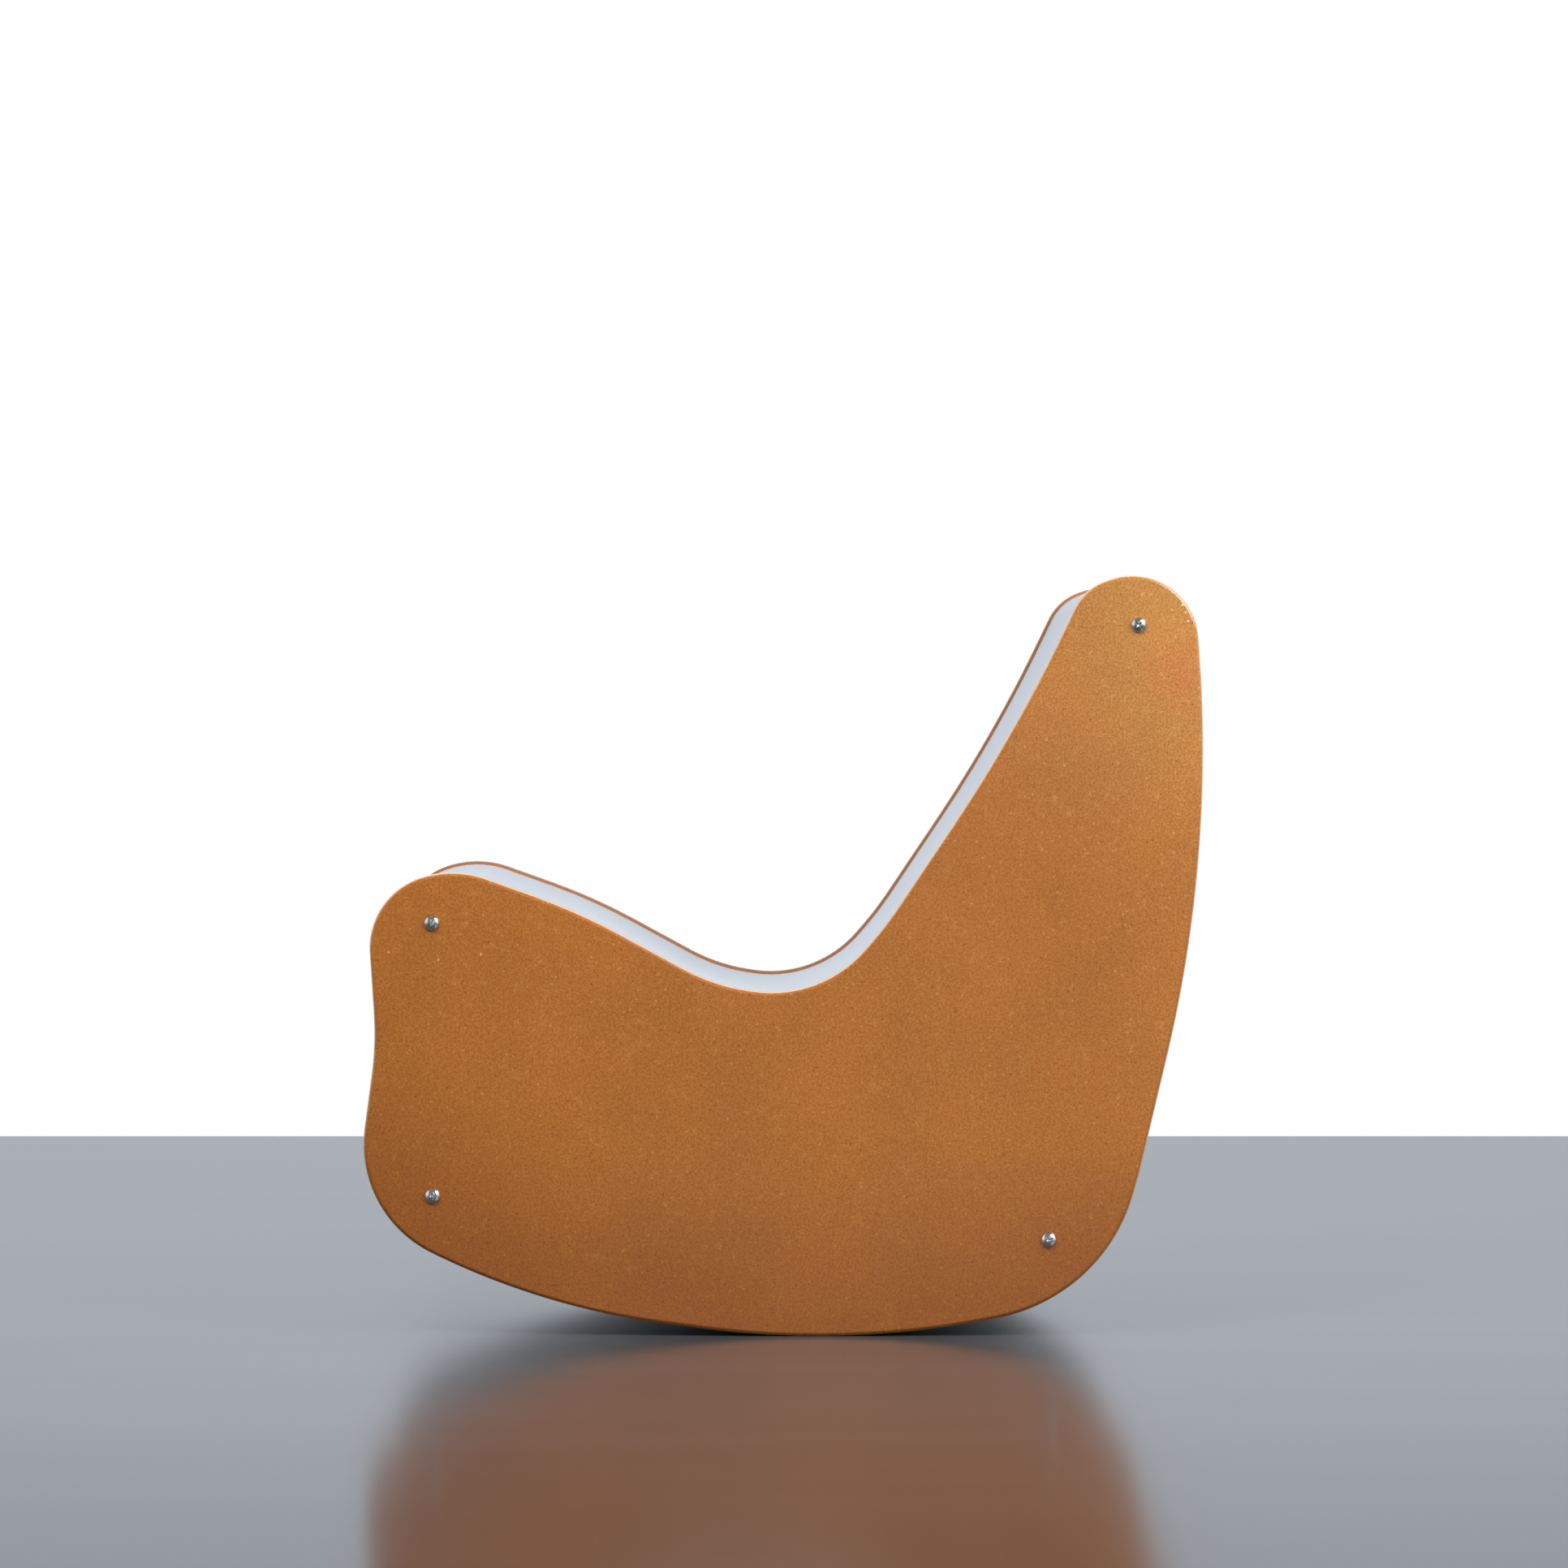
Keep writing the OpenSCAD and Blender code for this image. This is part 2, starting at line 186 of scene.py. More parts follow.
def end_segments(node, y):
    """The edges of the node's flat end at y, in X and Z.

    Each is a list of its start, its end and the normals at these two.
    """
    mesh = NODES[node].data
    normals = mesh.corner_normals
    segments = []
    for face in mesh.polygons:
        if abs(face.normal.y) > 0.5:
            continue
        corners = list(face.loop_indices)
        for first, second in zip(corners, corners[1:] + corners[:1]):
            a = mesh.vertices[mesh.loops[first].vertex_index].co
            b = mesh.vertices[mesh.loops[second].vertex_index].co
            if max(abs(a.y - y), abs(b.y - y)) > SAME_LEVEL:
                continue
            sides = [normals[corner].vector for corner in (first, second)]
            segments.append([np.array((v.x, v.z)) for v in (a, b, *sides)])
    return segments


def end_loops(node, y):
    """The closed loops of the node's flat end at y, the longest first, each a list of segments."""
    def key(point):
        return tuple(np.round(point * POINT_GRID).astype(int))

    following = {key(segment[0]): segment for segment in end_segments(node, y)}
    loops = []
    while following:
        segment = next(iter(following.values()))
        loop = []
        while segment is not None:
            loop.append(segment)
            following.pop(key(segment[0]))
            segment = following.get(key(segment[1]))
        loops.append([s for s in loop if np.linalg.norm(s[1] - s[0]) > SHORTEST])
    return sorted(loops, key=lambda loop: -sum(np.linalg.norm(s[1] - s[0]) for s in loop))


def across(normal, chord):
    """The unit tangent square to the normal that points along the chord."""
    tangent = np.array((-normal[1], normal[0])) / np.linalg.norm(normal)
    return tangent if tangent @ chord > 0 else -tangent


def smooth(loop, step=OUTLINE_STEP):
    """Points along a loop's true curve, no further apart than the step, and the normals there."""
    points = []
    outward = []
    for start, end, normal_a, normal_b in loop:
        chord = end - start
        length = np.linalg.norm(chord)
        leave = across(normal_a, chord)
        arrive = across(normal_b, chord)
        turn = math.acos(min(1.0, max(-1.0, leave @ arrive)))
        reach = length / 3
        if turn > 1e-4:
            reach = length * 2 / 3 * math.tan(turn / 4) / math.sin(turn / 2)
        hull = [start, start + leave * reach, end - arrive * reach, end]
        count = max(1, math.ceil(length / step), math.ceil(math.degrees(turn) / TURN_STEP))
        for t in np.arange(count) / count:
            weights = ((1 - t) ** 3, 3 * t * (1 - t) ** 2, 3 * t * t * (1 - t), t ** 3)
            slopes = ((1 - t) ** 2, 2 * t * (1 - t), t * t)
            points.append(sum(w * p for w, p in zip(weights, hull)))
            run = sum(w * (q - p) for w, p, q in zip(slopes, hull, hull[1:]))
            normal = np.array((run[1], -run[0])) / np.linalg.norm(run)
            outward.append(normal if normal @ normal_a > 0 else -normal)
    return np.array(points), np.array(outward)


def inside_node(points, node):
    """The points, held inside the node's box, which is a hair smaller than its true curves."""
    low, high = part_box(node)
    return np.clip(points, (low.x, low.z), (high.x, high.z))


# Mesh building

class Shape:
    """A mesh in the making: vertices with their normals where these are known, and faces."""

    def __init__(self):
        self.points = []
        self.normals = []
        self.faces = []
        self.caps = []

    def ring(self, points, normals=()):
        """Adds a closed row of vertices, in some shapes with normals, and returns their numbers."""
        first = len(self.points)
        self.points.extend(tuple(p) for p in points)
        self.normals.extend(tuple(n) for n in normals)
        return list(range(first, len(self.points)))

    def bridge(self, one, other):
        """A band of quads between two rings of the same number of vertices."""
        count = len(one)
        for i in range(count):
            j = (i + 1) % count
            self.faces.append((one[i], one[j], other[j], other[i]))

    def skin(self, rings):
        """Bands of quads from each ring to the next."""
        for one, other in zip(rings, rings[1:]):
            self.bridge(one, other)

    def cap(self, *rings):
        """A flat face at one Y, within the first ring and outside the others."""
        self.caps.append(rings)

    def piece(self, name, material, slot, *nodes, sharp=35):
        """Makes the object, rides it on the chair and lets it stand for the nodes.

        It is shaded by the normals if these are known, and otherwise with edges above the sharp
        angle kept as edges.
        """
        work = bmesh.new()
        vertices = [work.verts.new(p) for p in self.points]
        for face in self.faces:
            work.faces.new([vertices[i] for i in face])
        for rings in self.caps:
            corners = [i for ring in rings for i in ring]
            place = {i: k for k, i in enumerate(corners)}
            pairs = [pair for ring in rings for pair in zip(ring, ring[1:] + ring[:1])]
            rims = [(place[i], place[j]) for i, j in pairs]
            flat = [Vector((self.points[i][0], self.points[i][2])) for i in corners]
            _, _, triangles, sources, _, _ = delaunay_2d_cdt(flat, rims, [], 2, 1e-8)
            for triangle in triangles:
                work.faces.new([vertices[corners[sources[k][0]]] for k in triangle])
        bmesh.ops.recalc_face_normals(work, faces=work.faces)
        mesh = bpy.data.meshes.new(name)
        work.to_mesh(mesh)
        work.free()
        mesh.polygons.foreach_set("use_smooth", [True] * len(mesh.polygons))
        if self.normals:
            mesh.normals_split_custom_set_from_vertices(self.normals)
        else:
            mesh.set_sharp_from_angle(angle=math.radians(sharp))
        mesh.materials.append(material)
        piece = bpy.data.objects.new(name, mesh)
        bpy.context.collection.objects.link(piece)
        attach(piece, "root")
        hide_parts(*nodes)


def level(points, y):
    """Points in X and Z, set at y."""
    return [(x, y, z) for x, z in points]


def rounded_edge(shape, points, outward, face_y, way, size, steps):
    """The rings that round a loop over, from the flat face at face_y into the board.

    The way is 1 where the board lies above the face along Y and -1 where it lies below.
    """
    rings = []
    for k in range(steps + 1):
        angle = math.pi / 2 * k / steps
        inset = size * (1 - math.sin(angle))
        depth = size * (1 - math.cos(angle))
        normals = outward * math.sin(angle)
        normals = [(x, -way * math.cos(angle), z) for x, z in normals]
        rings.append(shape.ring(level(points - outward * inset, face_y + way * depth), normals))
    return rings


def blind_depth(node, y, centre, radius):
    """How deep the blind hole round this centre goes from the face at y."""
    depth = 0
    for vertex in NODES[node].data.vertices:
        away = math.hypot(vertex.co.x - centre[0], vertex.co.z - centre[1])
        if away < radius * HOLE_REACH:
            gap = abs(vertex.co.y - y)
            if gap < BLIND_LIMIT:
                depth = max(depth, gap)
    return depth


def side_board(side, material):
    """A side panel with its edges and holes rounded over, in place of the CAD's sharp one."""
    node = side + "_side_panel"
    low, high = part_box(node)
    outer, inner = (low.y, high.y) if side == "left" else (high.y, low.y)
    way = 1 if inner > outer else -1
    shape = Shape()
    outer_rings = []
    inner_rings = []
    through = end_loops(node, outer)
    for number, loop in enumerate(through):
        if number == 0:
            points, outward = smooth(loop, OUTLINE_STEP)
            points = inside_node(points, node)
            size, steps = BOARD_ROUND, EDGE_STEPS
        else:
            points, outward = smooth(loop, HOLE_STEP)
            size, steps = BOLT_HOLE_ROUND, HOLE_EDGE_STEPS
        inner_size = min(size, BOARD_INNER_ROUND)
        inner_steps = min(steps, INNER_EDGE_STEPS)
        front = rounded_edge(shape, points, outward, outer, way, size, steps)
        back = rounded_edge(shape, points, outward, inner, -way, inner_size, inner_steps)
        shape.skin(front + back[::-1])
        outer_rings.append(front[0])
        inner_rings.append(back[0])
    centres = [np.mean([s[0] for s in loop], axis=0) for loop in through[1:]]
    for loop in end_loops(node, inner)[1:]:
        centre = np.mean([s[0] for s in loop], axis=0)
        if any(np.linalg.norm(centre - other) < SAME_CENTRE for other in centres):
            continue
        points, outward = smooth(loop, HOLE_STEP)
        radius = np.linalg.norm(points[0] - centre)
        depth = blind_depth(node, inner, centre, radius)
        rings = rounded_edge(shape, points, outward, inner, -way, PILOT_HOLE_ROUND, HOLE_EDGE_STEPS)
        bottom = inner - way * depth
        flat = [(x, 0, z) for x, z in outward]
        rings.append(shape.ring(level(points, bottom), flat))
        shape.skin(rings)
        floor = shape.ring(level(points, bottom), [(0, way, 0)] * len(points))
        shape.cap(floor)
        inner_rings.append(rings[0])
    shape.cap(*outer_rings)
    shape.cap(*inner_rings)
    shape.piece(side + "_board", material, "side_panel", node)


def skin_sheet(name, node, material):
    """A laminate skin, drawn on the true curve of the CAD one's end."""
    low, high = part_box(node)
    points, outward = smooth(end_loops(node, low.y)[0])
    points = inside_node(points, node)
    shape = Shape()
    rows = (
        (low.y, SKIN_ROUND),
        (low.y + SKIN_ROUND, 0),
        (high.y - SKIN_ROUND, 0),
        (high.y, SKIN_ROUND),
    )
    rings = [shape.ring(level(points - outward * inset, y)) for y, inset in rows]
    shape.skin(rings)
    shape.cap(rings[0])
    shape.cap(rings[-1])
    shape.piece(name, material, "laminate", node)


def cross(angles, reach, width):
    """The distance from the middle to the edge of a four-armed cross recess, at each angle."""
    quarter = math.pi / 2
    off = np.abs((angles + quarter / 2) % quarter - quarter / 2)
    ends = (1 / reach) ** CROSS_POWER
    sides = (np.sin(off) / (width / 2)) ** CROSS_POWER
    return (ends + sides) ** (-1 / CROSS_POWER)


def dome_bolt(side, place, material):
    """A machine bolt with a domed head and a cross recess, in place of the CAD's plain one."""
    node = f"{side}_{place}_bolt"
    low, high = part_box(node)
    panel_low, panel_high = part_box(side + "_side_panel")
    way = -1 if side == "left" else 1
    face = panel_low.y if side == "left" else panel_high.y
    near, far = (low.y, high.y) if side == "left" else (high.y, low.y)
    top = abs(near - face)
    tip = -abs(far - face)
    middle = ((low.x + high.x) / 2, (low.z + high.z) / 2)
    radius = (high.x - low.x) / 2
    shank = radius / 2
    angles = np.arange(BOLT_CORNERS) / BOLT_CORNERS * 2 * math.pi
    turn = math.radians(BOLT_TURNS[place]) * -way

    def dome(reach):
        """The height of the dome above the board at a distance from its middle."""
        share = np.sqrt(np.clip(1 - (reach / radius) ** 2, 0, 1))
        return BOLT_BAND + (top - BOLT_BAND) * share

    shape = Shape()

    def lay(reach, height):
        """A ring round the bolt's axis, at one distance and height or at one for each corner."""
        reach = np.broadcast_to(reach, angles.shape)
        height = np.broadcast_to(height, angles.shape)
        x = middle[0] + reach * np.cos(angles + turn)
        z = middle[1] + reach * np.sin(angles + turn)
        return shape.ring(np.stack((x, face + way * height, z), axis=1))

    rings = [lay(shank - BOLT_BEVEL, tip), lay(shank, tip + BOLT_BEVEL)]
    for k in range(1, SHANK_STEPS):
        height = tip + BOLT_BEVEL + (-tip - 2 * BOLT_BEVEL) * k / SHANK_STEPS
        rings.append(lay(shank, height))
    rings.append(lay(shank, 0))
    rings.append(lay(radius - BOLT_BAND_BEVEL, 0))
    rings.append(lay(radius, BOLT_BAND_BEVEL))
    for k in range(1, DOME_STEPS):
        last = radius * math.cos(math.radians(90 * k / DOME_STEPS * DOME_SHARE))
        rings.append(lay(last, dome(last)))
    mouth = cross(angles, RECESS_REACH, RECESS_WIDTH)
    for k in range(1, MOUTH_STEPS):
        reach = last + (mouth + LIP_START - last) * k / MOUTH_STEPS
        rings.append(lay(reach, dome(reach)))
    rings.append(lay(mouth + LIP_START, dome(mouth + LIP_START)))
    rings.append(lay(mouth + LIP_MIDDLE, dome(mouth) - LIP_MIDDLE_DEPTH))
    rings.append(lay(mouth, dome(mouth) - LIP_DEPTH))
    floor = dome(RECESS_REACH) - RECESS_DEPTH
    for k in range(1, RECESS_STEPS + 1):
        share = k / RECESS_STEPS
        arm = RECESS_REACH - RECESS_REACH_LOSS * share
        reach = cross(angles, arm, RECESS_WIDTH - RECESS_WIDTH_LOSS * share)
        height = (dome(mouth) - LIP_DEPTH) * (1 - share) + floor * share
        rings.append(lay(reach, height))
    reach = cross(angles, PIT_REACH, PIT_WIDTH)
    rings.append(lay(reach, floor - PIT_EDGE_DEPTH))
    rings.append(lay(reach * PIT_BOTTOM, floor - PIT_DEPTH))
    shape.skin(rings)
    shape.cap(rings[0])
    shape.cap(rings[-1])
    shape.piece(f"{side}_{place}_dome_bolt", material, "bolt", node, sharp=40)


# Materials

class Graph:
    """A tree of shader nodes, with short ways to add nodes and to join them."""

    def __init__(self, tree):
        self.nodes = tree.nodes
        self.links = tree.links

    def put(self, value, socket):
        """Joins an output to the socket, or sets the socket to a plain value."""
        if isinstance(value, bpy.types.NodeSocket):
            self.links.new(value, socket)
        else:
            socket.default_value = value

    def calc(self, what, *values):
        """The result of one operation on the values."""
        node = self.nodes.new("ShaderNodeMath")
        node.operation = what
        for value, socket in zip(values, node.inputs):
            self.put(value, socket)
        return node.outputs["Value"]

    def spread(self, value, low, high, to_low=0.0, to_high=1.0):
        """The value taken smoothly from one range to another, 0 to 1 unless said otherwise."""
        node = self.nodes.new("ShaderNodeMapRange")
        node.interpolation_type = "SMOOTHSTEP"
        self.put(value, node.inputs["Value"])
        self.put(low, node.inputs["From Min"])
        self.put(high, node.inputs["From Max"])
        self.put(to_low, node.inputs["To Min"])
        self.put(to_high, node.inputs["To Max"])
        return node.outputs["Result"]

    def mix(self, share, one, other, how="MIX"):
        """The first colour, with this share of the second laid over it."""
        node = self.nodes.new("ShaderNodeMix")
        node.data_type = "RGBA"
        node.blend_type = how
        self.put(share, node.inputs[0])
        self.put(one, node.inputs[6])
        self.put(other, node.inputs[7])
        return node.outputs[2]


class Finish(Graph):
    """A procedural material."""

    def __init__(self, name):
        self.material = bpy.data.materials.new(name)
        self.material.use_nodes = True
        super().__init__(self.material.node_tree)
        self.shader = next(n for n in self.nodes if n.type == "BSDF_PRINCIPLED")
        self.place = self.nodes.new("ShaderNodeTexCoord").outputs["Object"]

    def surface(self, **values):
        """Sets inputs of the surface, named with underscores for spaces."""
        for name, value in values.items():
            self.put(value, self.shader.inputs[name.replace("_", " ")])

    def mapped(self, scale=(1, 1, 1), shift=(0, 0, 0)):
        """The place on the chair, scaled and shifted."""
        node = self.nodes.new("ShaderNodeMapping")
        self.put(self.place, node.inputs["Vector"])
        self.put(scale, node.inputs["Scale"])
        self.put(shift, node.inputs["Location"])
        return node.outputs["Vector"]

    def noise(self, scale, detail=2.0, rough=0.5, bend=0.0, at=None):
        node = self.nodes.new("ShaderNodeTexNoise")
        self.put(at or self.place, node.inputs["Vector"])
        self.put(scale, node.inputs["Scale"])
        self.put(detail, node.inputs["Detail"])
        self.put(rough, node.inputs["Roughness"])
        self.put(bend, node.inputs["Distortion"])
        return node.outputs["Fac"]

    def cells(self, scale):
        """The distance to the middle of a cell, and the cell's own random colour."""
        node = self.nodes.new("ShaderNodeTexVoronoi")
        self.put(self.place, node.inputs["Vector"])
        self.put(scale, node.inputs["Scale"])
        return node.outputs["Distance"], node.outputs["Color"]

    def bump(self, height, strength, distance):
        node = self.nodes.new("ShaderNodeBump")
        self.put(height, node.inputs["Height"])
        self.put(strength, node.inputs["Strength"])
        self.put(distance, node.inputs["Distance"])
        return node.outputs["Normal"]

    def near(self, x, z, radius, stretch=1):
        """1 at a point of the side view, falling to 0 at the radius.

        Along X the radius is longer by the stretch.
        """
        flat = self.nodes.new("ShaderNodeVectorMath")
        flat.operation = "MULTIPLY"
        self.put(self.place, flat.inputs[0])
        self.put((1 / stretch, 0, 1), flat.inputs[1])
        away = self.nodes.new("ShaderNodeVectorMath")
        away.operation = "DISTANCE"
        self.put(flat.outputs["Vector"], away.inputs[0])
        self.put((x / stretch, 0, z), away.inputs[1])
        return self.spread(away.outputs["Value"], 0, radius, 1, 0)

    def part(self, axis):
        """One coordinate of the place on the chair."""
        split = self.nodes.new("ShaderNodeSeparateXYZ")
        self.put(self.place, split.inputs["Vector"])
        return split.outputs[axis]

    def above_rocker(self, x, radius):
        """The height above the curve that the chair rolls on, which touches the floor at x."""
        off = self.calc("SUBTRACT", self.part("X"), x)
        rise = self.calc("DIVIDE", self.calc("MULTIPLY", off, off), 2 * radius)
        return self.calc("SUBTRACT", self.part("Z"), rise)


def rgb(red, green, blue):
    return (red, green, blue, 1)


def scaled(colour, red, green, blue):
    return rgb(colour[0] * red, colour[1] * green, colour[2] * blue)


def fibreboard(name, base, lacquered):
    """Medium-density fibreboard: fine mottling, pale fibres, specks and slow clouds of tone."""
    finish = Finish(name)
    mottle = finish.spread(finish.noise(430, 2, 0.65), 0.35, 0.65)
    colour = finish.mix(mottle, scaled(base, 0.88, 0.74, 0), scaled(base, 1.12, 1.26, 2.0))
    clouds = finish.spread(finish.noise(11, 3, 0.55), 0.3, 0.7, -0.045, 0.045)
    wide = finish.spread(finish.noise(3.2, 2, 0.5), 0.35, 0.65, 0.965, 1.035)
    colour = finish.mix(1.0, colour, finish.calc("ADD", clouds, wide), "MULTIPLY")
    pale = rgb(*(c * 0.6 + k * 0.4 for c, k in zip(base, (0.85, 0.50, 0.12))))
    deep = scaled(base, 0.35, 0.35, 0.35)
    fibres = ((110, 1.6, 0.04, 0.58), (170, 1.2, 0.05, 0.6))
    for number, (scale, bend, width, rare) in enumerate(fibres):
        shifted = finish.mapped(shift=(3.1 * number + 0.7, 1.3, 2.2 * number))
        curl = finish.calc("SUBTRACT", finish.noise(scale, 1, 0.4, bend, shifted), 0.5)
        line = finish.spread(finish.calc("ABSOLUTE", curl), 0, width, 1, 0)
        elsewhere = finish.mapped(shift=(9.0, 4.0, number))
        patch = finish.spread(finish.noise(scale * 0.7, 1, 0.5, 0, elsewhere), rare, rare + 0.06)
        fibre = finish.calc("MULTIPLY", finish.calc("MULTIPLY", line, patch), 0.55)
        colour = finish.mix(fibre, colour, pale)
    specks = ((120, 0.16, 0.55, deep, 0.7), (90, 0.15, 0.6, pale, 0.8))
    for scale, size, rare, tint, strength in specks:
        distance, cell = finish.cells(scale)
        chosen = finish.calc("GREATER_THAN", cell, rare)
        dot = finish.spread(distance, size * 0.45, size, 1, 0)
        speck = finish.calc("MULTIPLY", finish.calc("MULTIPLY", dot, chosen), strength)
        colour = finish.mix(speck, colour, tint)
    grain = finish.noise(260, 2, 0.6)
    if lacquered:
        wavy = finish.noise(45, 2, 0.5)
        finish.surface(Base_Color=marks_and_painted_light(finish, colour), Roughness=0.45, Specular_IOR_Level=0.5)
        finish.surface(Coat_Weight=1.0, Coat_Roughness=0.06, Coat_IOR=1.6)
        finish.surface(Coat_Normal=finish.bump(wavy, 0.015, 0.002))
        finish.surface(Normal=finish.bump(grain, 0.08, 0.0005))
    else:
        finish.surface(Base_Color=colour, Roughness=0.85, Normal=finish.bump(grain, 0.35, 0.0005))
    return finish.material


def marks_and_painted_light(finish, colour):
    """The boards' colour with tone patches, chips, scratches, painted highlights and painted shade.
    """
    # Tone patches, two of them a painted reflection and a painted sheen at the head
    for x, z, radius, share, tint in TONE_AND_SHEEN_PATCHES:
        patch = finish.calc("MULTIPLY", finish.near(x, z, radius), share)
        colour = finish.mix(patch, colour, rgb(*tint), "MULTIPLY")
    # Chips and scratches, and painted glints at the head
    for x, z, radius, stretch, share, tint in MARKS_AND_GLINTS:
        mark = finish.calc("MULTIPLY", finish.near(x, z, radius, stretch), share)
        colour = finish.mix(mark, colour, rgb(*tint))
    depth = finish.calc("ABSOLUTE", finish.part("Y"))
    # A paler edge tone that is partly painted highlight, and a painted highlight along the arris
    pale_edge_tone_and_highlight = finish.mix(0.25, rgb(0.56, 0.32, 0.12), colour)
    edge = finish.mix(finish.spread(depth, *ARRIS), pale_edge_tone_and_highlight, rgb(0.85, 0.56, 0.32))
    colour = finish.mix(finish.spread(depth, OUTER_FACE, OUTER_ROUND), colour, edge)
    white = rgb(1, 1, 1)
    # Painted sheen: paler towards the chair's back edge, for X above 0.30
    back = finish.mix(finish.spread(finish.part("X"), 0.30, 0.44), white, rgb(1.16, 1.22, 1.3))
    colour = finish.mix(1.0, colour, back, "MULTIPLY")
    # Painted shade: darker towards the bottom edge, by height above the rocker curve
    height = finish.above_rocker(ROCKER_X, ROCKER_RADIUS)
    painted_foot_shade = finish.mix(finish.spread(height, 0, 0.2), rgb(0.76, 0.65, 0.1), white)
    colour = finish.mix(1.0, colour, painted_foot_shade, "MULTIPLY")
    # Painted shade on the inner face, the strip that shows above the skin
    shade = finish.mix(finish.spread(depth, *INNER_FACE), rgb(0.74, 0.55, 0.48), white)
    return finish.mix(1.0, colour, shade, "MULTIPLY")


def white_laminate():
    """White laminate with a soft sheen, a painted blue tint of light and painted shade at the
    front.
    """
    finish = Finish("white_laminate")
    haze = finish.noise(7, 2, 0.5)
    tone = finish.spread(haze, 0.3, 0.7)
    # The blue tint is painted light from the pale surround
    colour = finish.mix(tone, rgb(0.60, 0.642, 0.70), rgb(0.625, 0.667, 0.725))
    # Painted shade: greyer towards the front of the chair
    front = finish.spread(finish.part("X"), -0.32, 0.15, 0.86, 1)
    colour = finish.mix(1.0, colour, front, "MULTIPLY")
    roughness = finish.spread(haze, 0.3, 0.7, 0.36, 0.42)
    finish.surface(Base_Color=colour, Roughness=roughness)
    return finish.material


def plated(name, base, rough, wear):
    """Plated or bare metal, with fine turning marks and a little uneven roughness."""
    finish = Finish(name)
    patches = finish.noise(300, 3, 0.6)
    marks = finish.noise(2600, 1, 0.5, 0.4)
    dark = scaled(base, 1 - wear, 1 - wear, 1 - wear)
    colour = finish.mix(finish.spread(patches, 0.4, 0.7), rgb(*base), dark)
    roughness = finish.spread(patches, 0.3, 0.75, rough, rough * 1.9)
    finish.surface(Base_Color=colour, Metallic=1.0, Roughness=roughness)
    finish.surface(Normal=finish.bump(marks, 0.04, 0.0001))
    return finish.material


def hardwood():
    """Planed hardwood with its grain along the chair's width."""
    finish = Finish("planed_hardwood")
    along = finish.mapped(scale=(1, 0.06, 1))
    rings = finish.noise(55, 3, 0.55, 0.6, along)
    bands = finish.calc("FRACT", finish.calc("MULTIPLY", rings, 9.0))
    pores = finish.spread(finish.noise(900, 2, 0.6, 0, along), 0.62, 0.7)
    tone = finish.spread(bands, 0.1, 0.95)
    colour = finish.mix(tone, rgb(0.62, 0.40, 0.20), rgb(0.50, 0.29, 0.13))
    colour = finish.mix(finish.calc("MULTIPLY", pores, 0.5), colour, rgb(0.28, 0.15, 0.07))
    finish.surface(Base_Color=colour, Roughness=0.55, Normal=finish.bump(pores, 0.2, 0.0003))
    return finish.material


def bent_plywood():
    """Bent plywood: a birch face with long grain across the seat."""
    finish = Finish("bent_plywood")
    along = finish.mapped(scale=(1, 0.05, 1))
    grain = finish.noise(160, 4, 0.6, 0.3, along)
    slow = finish.noise(14, 2, 0.5, 0.8, along)
    tone = finish.spread(grain, 0.3, 0.7)
    colour = finish.mix(tone, rgb(0.70, 0.52, 0.32), rgb(0.60, 0.42, 0.24))
    colour = finish.mix(finish.spread(slow, 0.45, 0.7, 0, 0.4), colour, rgb(0.52, 0.34, 0.18))
    finish.surface(Base_Color=colour, Roughness=0.6, Normal=finish.bump(grain, 0.15, 0.0003))
    return finish.material


# The chair

board = fibreboard("lacquered_fibreboard", (0.478, 0.150, 0.012), lacquered=True)
laminate = white_laminate()
chrome = plated("bright_chrome", (0.72, 0.73, 0.75), rough=0.11, wear=0.12)

for side in ("left", "right"):
    side_board(side, board)
for part in ("seat", "back", "rocker"):
    skin_sheet(part + "_skin", part + "_laminate", laminate)
for side in ("left", "right"):
    for place in BOLT_TURNS:
        dome_bolt(side, place, chrome)

# The parts that show the CAD's own meshes, by material slot
carried = {
    "bearer": fibreboard("raw_fibreboard", (0.46, 0.27, 0.13), lacquered=False),
    "rail": hardwood(),
    "plywood": bent_plywood(),
    "insert": plated("plain_brass", (0.72, 0.50, 0.20), rough=0.22, wear=0.2),
    "screw": plated("zinc_steel", (0.52, 0.52, 0.50), rough=0.28, wear=0.25),
}
slot_of = {part["node"]: part["material_slot"] for part in frame["record"]["subparts"]}
for name, node in NODES.items():
    if slot_of.get(name) in carried:
        for slot in node.material_slots:
            slot.material = carried[slot_of[name]]


# Floor, light and camera

def studio_floor():
    """A plain glossy floor with faint streaks across, which ends some way behind the chair."""
    mesh = bpy.data.meshes.new("studio_floor")
    corners = [(-FLOOR_SIDE, FLOOR_FRONT, 0), (FLOOR_SIDE, FLOOR_FRONT, 0)]
    corners += [(FLOOR_SIDE, FLOOR_BACK, 0), (-FLOOR_SIDE, FLOOR_BACK, 0)]
    mesh.from_pydata(corners, [], [(0, 1, 2, 3)])
    finish = Finish("floor")
    streaks = finish.noise(6, 4, 0.6, 0.3, finish.mapped(scale=(0.12, 1, 1)))
    tone = finish.spread(streaks, 0.35, 0.65)
    colour = finish.mix(tone, rgb(0.085, 0.087, 0.091), rgb(0.10, 0.102, 0.107))
    finish.surface(Base_Color=colour, Roughness=0.17, Specular_IOR_Level=0.5)
    mesh.materials.append(finish.material)
    floor = bpy.data.objects.new("studio_floor", mesh)
    bpy.context.collection.objects.link(floor)


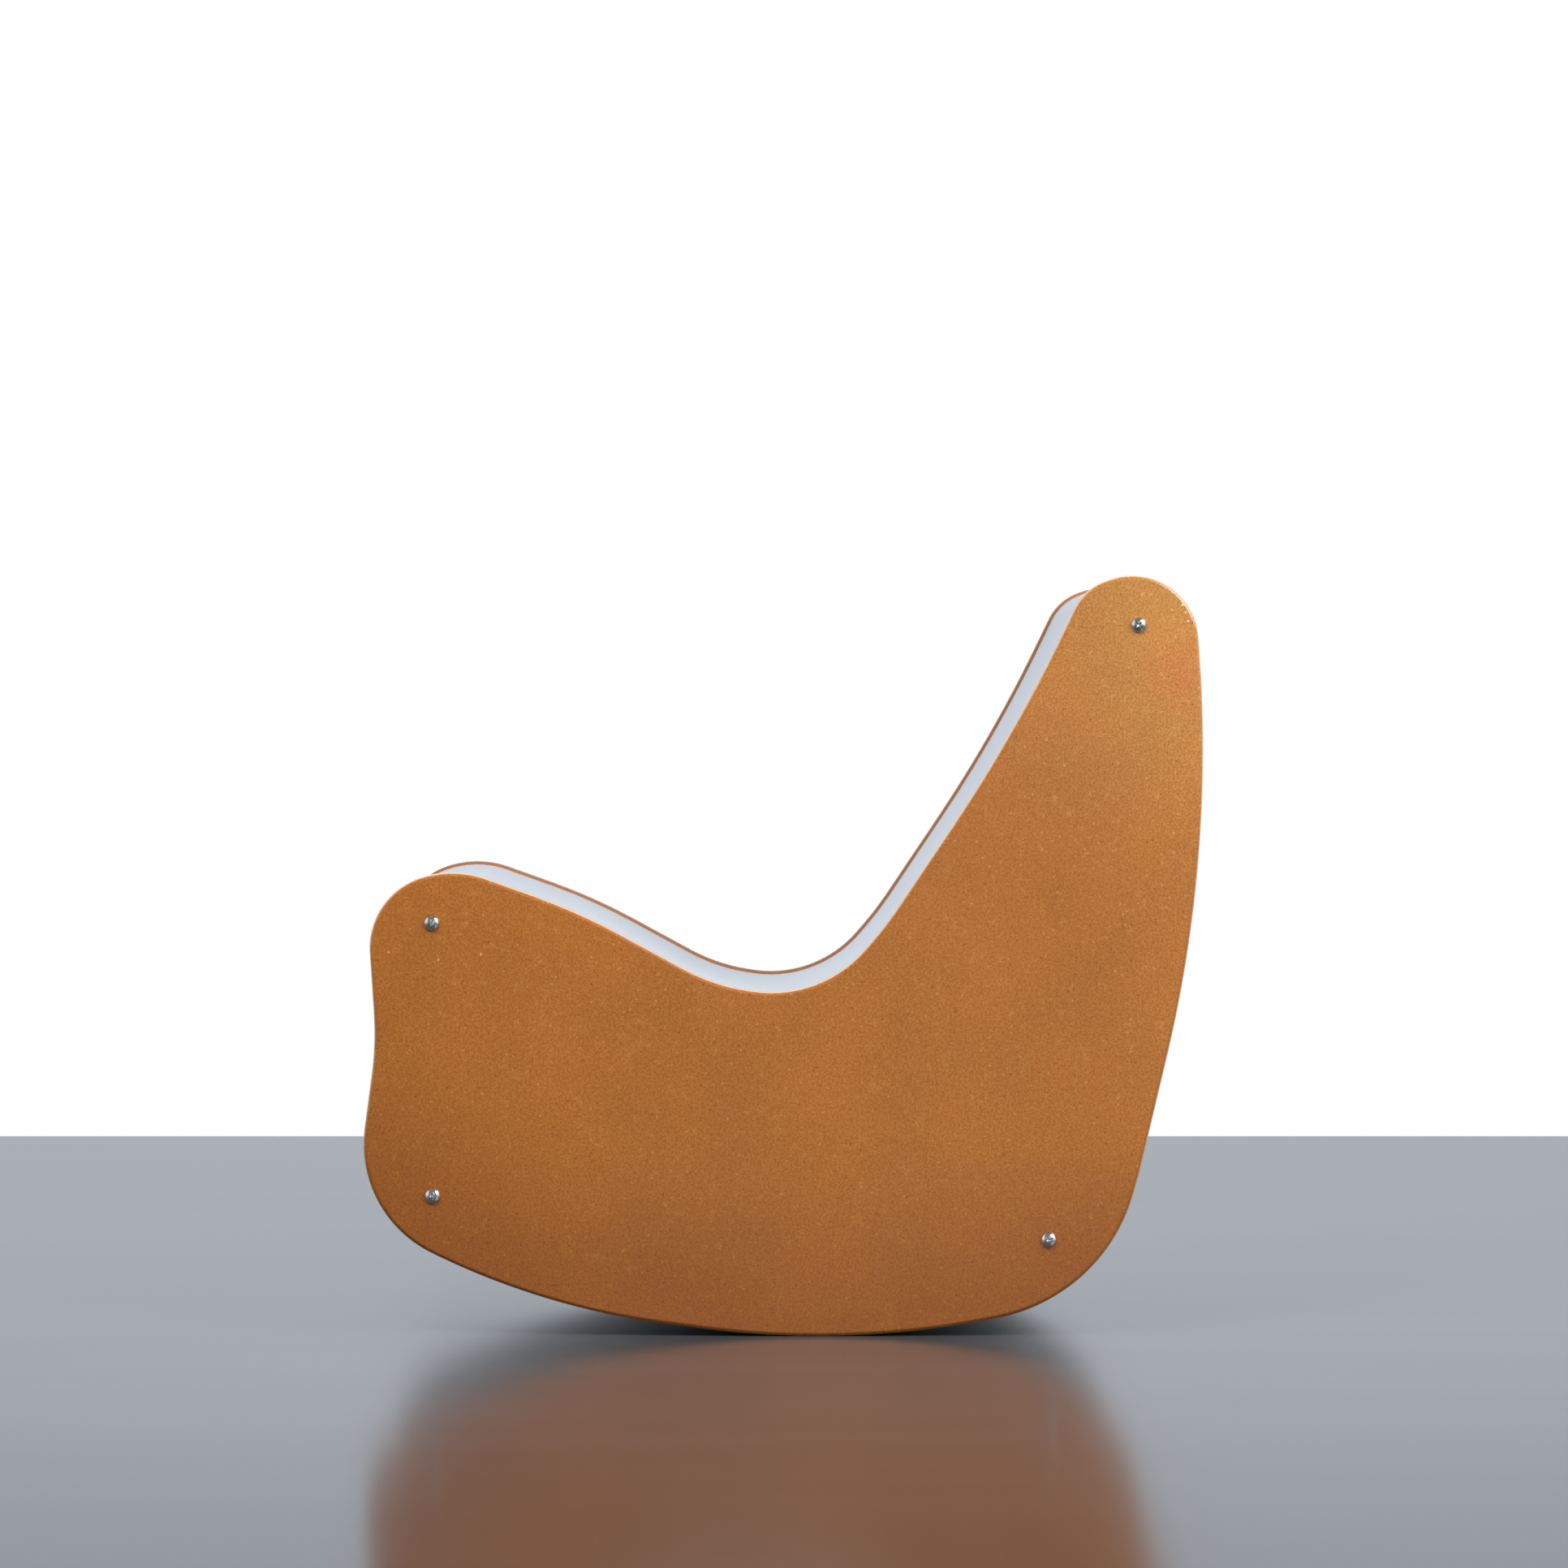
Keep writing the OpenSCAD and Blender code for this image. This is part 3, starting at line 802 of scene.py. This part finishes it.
def studio_world():
    """A dim room for soft light, and white to the camera.

    In reflections it is pale behind the chair, white at both sides, dark before it and above, and
    warm and light before it at the upper right.
    """
    world = bpy.data.worlds.new("studio")
    world.use_nodes = True
    world.node_tree.nodes.clear()
    graph = Graph(world.node_tree)
    way = graph.nodes.new("ShaderNodeTexCoord").outputs["Generated"]
    split = graph.nodes.new("ShaderNodeSeparateXYZ")
    graph.put(way, split.inputs["Vector"])
    across_x = split.outputs["X"]
    along_y = split.outputs["Y"]

    behind = graph.spread(along_y, -0.15, 0.6)
    room = graph.mix(behind, rgb(0.21, 0.21, 0.22), rgb(0.68, 0.73, 0.80))
    sides = graph.spread(graph.calc("ABSOLUTE", across_x), 0.5, 0.8)
    room = graph.mix(sides, room, rgb(1, 1, 1))
    rise = graph.nodes.new("ShaderNodeVectorMath")
    rise.operation = "DOT_PRODUCT"
    graph.put(way, rise.inputs[0])
    graph.put((0.78, 0, 0.62), rise.inputs[1])
    upper_right = graph.spread(rise.outputs["Value"], -0.06, 0.1)
    before = graph.spread(along_y, -0.75, -0.95)
    room = graph.mix(graph.calc("MULTIPLY", upper_right, before), room, rgb(0.85, 0.82, 0.75))

    def background(colour, strength):
        node = graph.nodes.new("ShaderNodeBackground")
        graph.put(colour, node.inputs["Color"])
        graph.put(strength, node.inputs["Strength"])
        return node.outputs[0]

    def chosen(ray, usual, special):
        node = graph.nodes.new("ShaderNodeMixShader")
        for value, socket in zip((ray, usual, special), node.inputs):
            graph.put(value, socket)
        return node.outputs[0]

    rays = graph.nodes.new("ShaderNodeLightPath")
    lit = background(rgb(0.93, 0.96, 1.0), AMBIENT)
    mirrored = chosen(rays.outputs["Is Glossy Ray"], lit, background(room, 1.0))
    seen = chosen(rays.outputs["Is Camera Ray"], mirrored, background(rgb(1, 1, 1), 1.0))
    out = graph.nodes.new("ShaderNodeOutputWorld")
    graph.put(seen, out.inputs["Surface"])
    bpy.context.scene.world = world


def softbox(name, at, towards, width, height, power, spread, mirrored):
    """A lamp that the camera does not see, and that surfaces mirror only if this is asked for."""
    light = bpy.data.lights.new(name, "AREA")
    light.shape = "RECTANGLE"
    light.size = width
    light.size_y = height
    light.energy = power
    light.spread = math.radians(spread)
    box = bpy.data.objects.new(name, light)
    box.location = at
    aim = Vector(towards) - Vector(at)
    box.rotation_euler = aim.to_track_quat("-Z", "Y").to_euler()
    box.visible_camera = False
    box.visible_glossy = mirrored
    bpy.context.collection.objects.link(box)


studio_floor()
studio_world()
for name, lamp in LAMPS.items():
    softbox(name, *lamp)

camera_data = bpy.data.cameras.new("camera")
camera_data.sensor_fit = "HORIZONTAL"
camera_data.sensor_width = 36
camera_data.lens = 128.94
camera_data.shift_x = 0.0140
camera_data.shift_y = -0.0327
camera_data.clip_end = 100
camera = bpy.data.objects.new("camera", camera_data)
camera.location = (-0.0224, -6.178, 0.635)
camera.rotation_euler = (math.radians(90), 0, 0)
bpy.context.collection.objects.link(camera)
bpy.context.scene.camera = camera
bpy.context.scene.view_settings.view_transform = "Standard"
